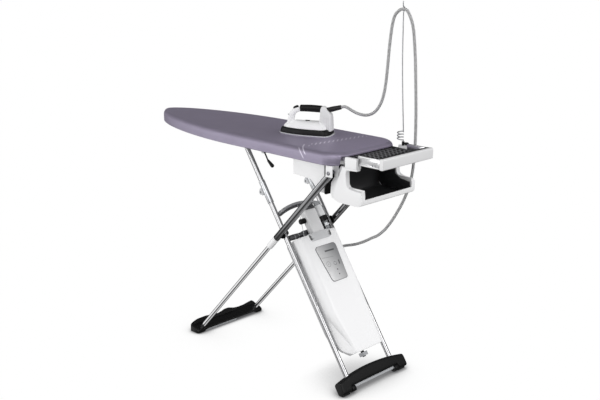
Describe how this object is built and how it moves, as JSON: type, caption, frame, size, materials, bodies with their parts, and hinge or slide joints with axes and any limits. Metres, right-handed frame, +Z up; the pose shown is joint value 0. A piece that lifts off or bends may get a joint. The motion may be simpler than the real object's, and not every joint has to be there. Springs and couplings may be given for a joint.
{
  "type": "ironing board",
  "caption": "Active ironing board on crossed folding legs, with a steam generator, a sliding iron rest, a basket, a hose mast and an iron.",
  "frame": {"origin": "on the floor under the middle of the product's outline", "axes": "+Z up, X along the board with the nose at -X and the iron rest at +X, Y across the board"},
  "size_m": [1.404, 0.38, 1.4521],
  "materials": {
    "cover_cloth": "metallised mauve-grey cotton",
    "foam": "open foam",
    "alloy_sheet": "bare rolled alloy sheet",
    "zinc_steel": "zinc plated sheet",
    "light_steel": "light grey paint",
    "dark_steel": "dark steel",
    "white_plastic": "fine satin",
    "white_gloss": "polished white",
    "black_plastic": "satin black",
    "black_grip": "soft-touch black",
    "chrome": "polished",
    "silver_paint": "silver lacquer",
    "dark_lacquer": "dark grey lacquer",
    "grey_plastic": "light grey satin",
    "panel_grey": "grey gradient lacquer",
    "clear_plastic": "clear moulded plastic",
    "black_rubber": "matt rubber",
    "braided_hose": "braided textile sleeve, light and dark grey"
  },
  "bodies": {
    "board": {"cover": "cover_cloth", "pad": "foam", "top_plate": "alloy_sheet", "air_pan": "alloy_sheet", "glide_rails": "zinc_steel", "leg_brackets": "light_steel", "hinge_pins": "dark_steel", "blower_housing": "white_plastic", "blower_end_cap": "black_plastic", "blower_grille": "black_plastic", "blower_motor": "dark_steel", "lever_bracket": "zinc_steel", "tail_brackets": "white_plastic", "basket_shell": "white_plastic", "basket_liner": "black_plastic", "mast_socket": "black_plastic", "mast_rod": "chrome", "hose_lower": "braided_hose", "hose_middle": "braided_hose", "hose_upper": "braided_hose"},
    "impeller": {"impeller": "black_plastic"},
    "height_lever": {"lever_arm": "black_plastic", "lever_grip": "black_plastic"},
    "mast_knob": {"mast_knob": "black_plastic"},
    "iron_rest": {"tray_bar": "silver_paint", "tray_rails": "chrome", "tray_mat": "black_rubber"},
    "outer_legs": {"leg_a_sleeves": "chrome", "leg_a_bushings": "white_plastic", "leg_a_tubes": "chrome", "leg_a_shoe": "black_plastic", "cross_axle": "black_plastic"},
    "inner_legs": {"leg_b_tubes": "chrome", "leg_b_knuckles": "light_steel", "leg_b_gliders": "grey_plastic", "arch_bar": "silver_paint", "cross_bar": "dark_lacquer", "foot_bar": "black_plastic", "foot_soles": "black_rubber", "wheel_axles": "zinc_steel", "housing_back": "grey_plastic", "housing_front": "white_gloss", "control_panel": "panel_grey", "boiler": "alloy_sheet", "pump": "black_plastic", "tank_column": "grey_plastic", "cartridge_clamp": "black_plastic", "hose_gland": "black_plastic"},
    "wheel_near": {"wheel_near": "black_rubber"},
    "wheel_far": {"wheel_far": "black_rubber"},
    "power_button": {"power_button": "panel_grey"},
    "steam_button": {"steam_button": "panel_grey"},
    "filter_cartridge": {"filter_cartridge": "clear_plastic"},
    "drain_cap": {"drain_cap": "grey_plastic"},
    "iron": {"iron_soleplate": "chrome", "iron_shield": "black_plastic", "iron_body": "white_gloss", "iron_grip": "black_grip", "strain_relief": "black_rubber"},
    "iron_button": {"iron_button": "black_grip"},
    "iron_dial": {"iron_dial": "black_grip"}
  },
  "joints": [
    {"name": "outer_legs_fold", "type": "hinge", "parent": "board", "child": "outer_legs", "pos_m": [0.472, 0, 0.852], "axis": [0, 1, 0], "range_deg": [-4.9, 31]},
    {"name": "inner_legs_fold", "type": "hinge", "parent": "outer_legs", "child": "inner_legs", "pos_m": [0.19445, 0, 0.55363], "axis": [0, 1, 0], "range_deg": [-67.2, 10.7]},
    {"name": "height_lever_pull", "type": "hinge", "parent": "board", "child": "height_lever", "pos_m": [0.108, -0.15, 0.874], "axis": [0, 1, 0], "range_deg": [-15, 0], "stiffness_Nm_per_rad": 1.5, "springref_deg": 5.73},
    {"name": "iron_rest_slide", "type": "slide", "parent": "board", "child": "iron_rest", "axis": [-1, 0, 0], "range_m": [0, 0.065]},
    {"name": "wheel_near_roll", "type": "hinge", "parent": "inner_legs", "child": "wheel_near", "pos_m": [0.55909, -0.127, 0.0135], "axis": [0, 1, 0], "continuous": true},
    {"name": "wheel_far_roll", "type": "hinge", "parent": "inner_legs", "child": "wheel_far", "pos_m": [0.55909, 0.127, 0.0135], "axis": [0, 1, 0], "continuous": true},
    {"name": "impeller_spin", "type": "hinge", "parent": "board", "child": "impeller", "pos_m": [0.318, 0, 0.813], "axis": [0, 0, 1], "continuous": true},
    {"name": "power_button_press", "type": "slide", "parent": "inner_legs", "child": "power_button", "axis": [-0.8288, 0, -0.5595], "range_m": [0, 0.0015], "stiffness_N_per_m": 400, "springref_m": -0.0005},
    {"name": "steam_button_press", "type": "slide", "parent": "inner_legs", "child": "steam_button", "axis": [-0.8288, 0, -0.5595], "range_m": [0, 0.0015], "stiffness_N_per_m": 400, "springref_m": -0.0005},
    {"name": "filter_cartridge_pull", "type": "slide", "parent": "inner_legs", "child": "filter_cartridge", "axis": [0.8288, 0, 0.5595], "range_m": [0, 0.04]},
    {"name": "drain_cap_turn", "type": "hinge", "parent": "inner_legs", "child": "drain_cap", "pos_m": [0.49928, 0.01, 0.08782], "axis": [-0.5595, 0, 0.8288], "range_deg": [-180, 180]},
    {"name": "mast_knob_turn", "type": "hinge", "parent": "board", "child": "mast_knob", "pos_m": [0.576, 0.147, 0.928], "axis": [1, 0, 0], "range_deg": [-180, 180]},
    {"name": "iron_lift", "type": "slide", "parent": "board", "child": "iron", "axis": [0, 0, 1], "range_m": [0, 0.12]},
    {"name": "iron_button_press", "type": "slide", "parent": "iron", "child": "iron_button", "axis": [0, 0, -1], "range_m": [0, 0.002], "stiffness_N_per_m": 400, "springref_m": -0.0005},
    {"name": "iron_dial_turn", "type": "hinge", "parent": "iron", "child": "iron_dial", "pos_m": [0.18629, 0.01107, 0.982], "axis": [0, 0, 1], "range_deg": [-35, 35]}
  ],
  "couplings": [
    {"joint": "inner_legs_fold", "follows": "outer_legs_fold", "ratio": -2.16}
  ]
}
